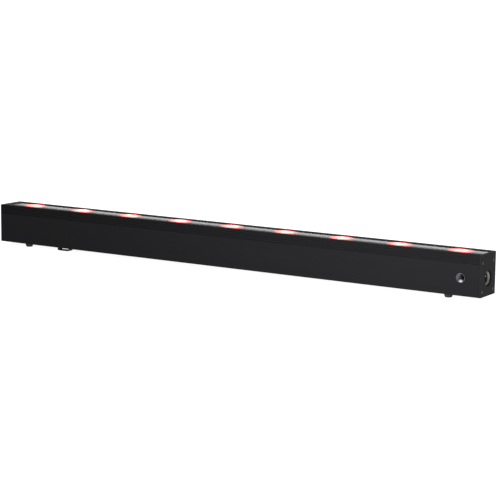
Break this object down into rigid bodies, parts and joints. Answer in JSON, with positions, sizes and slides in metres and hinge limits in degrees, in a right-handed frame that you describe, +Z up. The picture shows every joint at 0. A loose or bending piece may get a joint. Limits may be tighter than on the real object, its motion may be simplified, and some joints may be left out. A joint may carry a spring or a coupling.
{
  "type": "led strip batten",
  "caption": "Black finned aluminium wash bar with a clear cover strip over a row of lit round lenses, on rubber feet, with end and rear sockets.",
  "frame": {"origin": "on the floor, at the middle of the bar's footprint", "axes": "+X along the bar to its data-in end, -Y is the front with the infra-red eye, +Z up"},
  "size_m": [1, 0.0608, 0.0765],
  "materials": {
    "housing_anodised": "black anodised extrusion, satin",
    "end_plate_black": "black powder coat, satin",
    "black_steel": "black zinc plated steel",
    "led_board_white": "white solder mask on a metal-core board",
    "emitter_phosphor": "clear silicone over phosphor",
    "lens_clear": "clear moulded acrylic, lit red",
    "cover_clear": "clear extruded acrylic strip",
    "black_plastic": "moulded black ABS or nylon",
    "button_plastic": "moulded black ABS cap",
    "foot_rubber": "moulded black rubber",
    "bright_nickel": "satin nickel plate",
    "black_chrome": "black chrome plate",
    "smoked_plastic": "dark red infra-red-pass acrylic",
    "circuit_green": "green solder mask",
    "fuse_glass": "glass tube fuse",
    "zinc_steel": "bright zinc plated steel",
    "wire_sleeve": "braided sleeve"
  },
  "bodies": {
    "chassis": {"housing_extrusion": "housing_anodised", "end_plate_right": "end_plate_black", "end_plate_left": "end_plate_black", "end_screw_right_1": "black_steel", "end_screw_right_2": "black_steel", "end_screw_right_3": "black_steel", "end_screw_right_4": "black_steel", "end_screw_left_1": "black_steel", "end_screw_left_2": "black_steel", "end_screw_left_3": "black_steel", "end_screw_left_4": "black_steel", "led_board": "led_board_white", "led_emitter_1": "emitter_phosphor", "led_emitter_2": "emitter_phosphor", "led_emitter_3": "emitter_phosphor", "led_emitter_4": "emitter_phosphor", "led_emitter_5": "emitter_phosphor", "led_emitter_6": "emitter_phosphor", "led_emitter_7": "emitter_phosphor", "led_emitter_8": "emitter_phosphor", "led_emitter_9": "emitter_phosphor", "lens_1": "lens_clear", "lens_2": "lens_clear", "lens_3": "lens_clear", "lens_4": "lens_clear", "lens_5": "lens_clear", "lens_6": "lens_clear", "lens_7": "lens_clear", "lens_8": "lens_clear", "lens_9": "lens_clear", "lens_mask": "black_plastic", "cover_strip": "cover_clear", "foot_front_left": "foot_rubber", "foot_rear_left": "foot_rubber", "foot_front_right": "foot_rubber", "foot_rear_right": "foot_rubber", "safety_loop": "black_steel", "bracket_insert_left": "zinc_steel", "bracket_insert_right": "zinc_steel", "ir_bezel": "black_chrome", "ir_lens": "smoked_plastic", "ir_receiver": "black_plastic", "data_in_shell": "bright_nickel", "data_in_insert": "black_plastic", "data_out_shell": "bright_nickel", "data_out_insert": "black_plastic", "control_panel": "black_plastic", "display_window": "smoked_plastic", "control_board": "circuit_green", "power_inlet": "black_plastic", "power_outlet": "black_plastic", "power_supply": "zinc_steel", "wiring_loom": "wire_sleeve"},
    "button_1": {"button_1": "button_plastic"},
    "button_2": {"button_2": "button_plastic"},
    "button_3": {"button_3": "button_plastic"},
    "button_4": {"button_4": "button_plastic"},
    "data_out_latch": {"data_out_latch": "bright_nickel"},
    "fuse_drawer": {"fuse_drawer": "black_plastic", "fuse": "fuse_glass"}
  },
  "joints": [
    {"name": "button_1_press", "type": "slide", "parent": "chassis", "child": "button_1", "axis": [0, -1, 0], "range_m": [0, 0.0008], "stiffness_N_per_m": 800},
    {"name": "button_2_press", "type": "slide", "parent": "chassis", "child": "button_2", "axis": [0, -1, 0], "range_m": [0, 0.0008], "stiffness_N_per_m": 800},
    {"name": "button_3_press", "type": "slide", "parent": "chassis", "child": "button_3", "axis": [0, -1, 0], "range_m": [0, 0.0008], "stiffness_N_per_m": 800},
    {"name": "button_4_press", "type": "slide", "parent": "chassis", "child": "button_4", "axis": [0, -1, 0], "range_m": [0, 0.0008], "stiffness_N_per_m": 800},
    {"name": "latch_press", "type": "slide", "parent": "chassis", "child": "data_out_latch", "axis": [1, 0, 0], "range_m": [0, 0.0015], "stiffness_N_per_m": 900},
    {"name": "fuse_drawer_slide", "type": "slide", "parent": "chassis", "child": "fuse_drawer", "axis": [0, 1, 0], "range_m": [0, 0.016]}
  ]
}
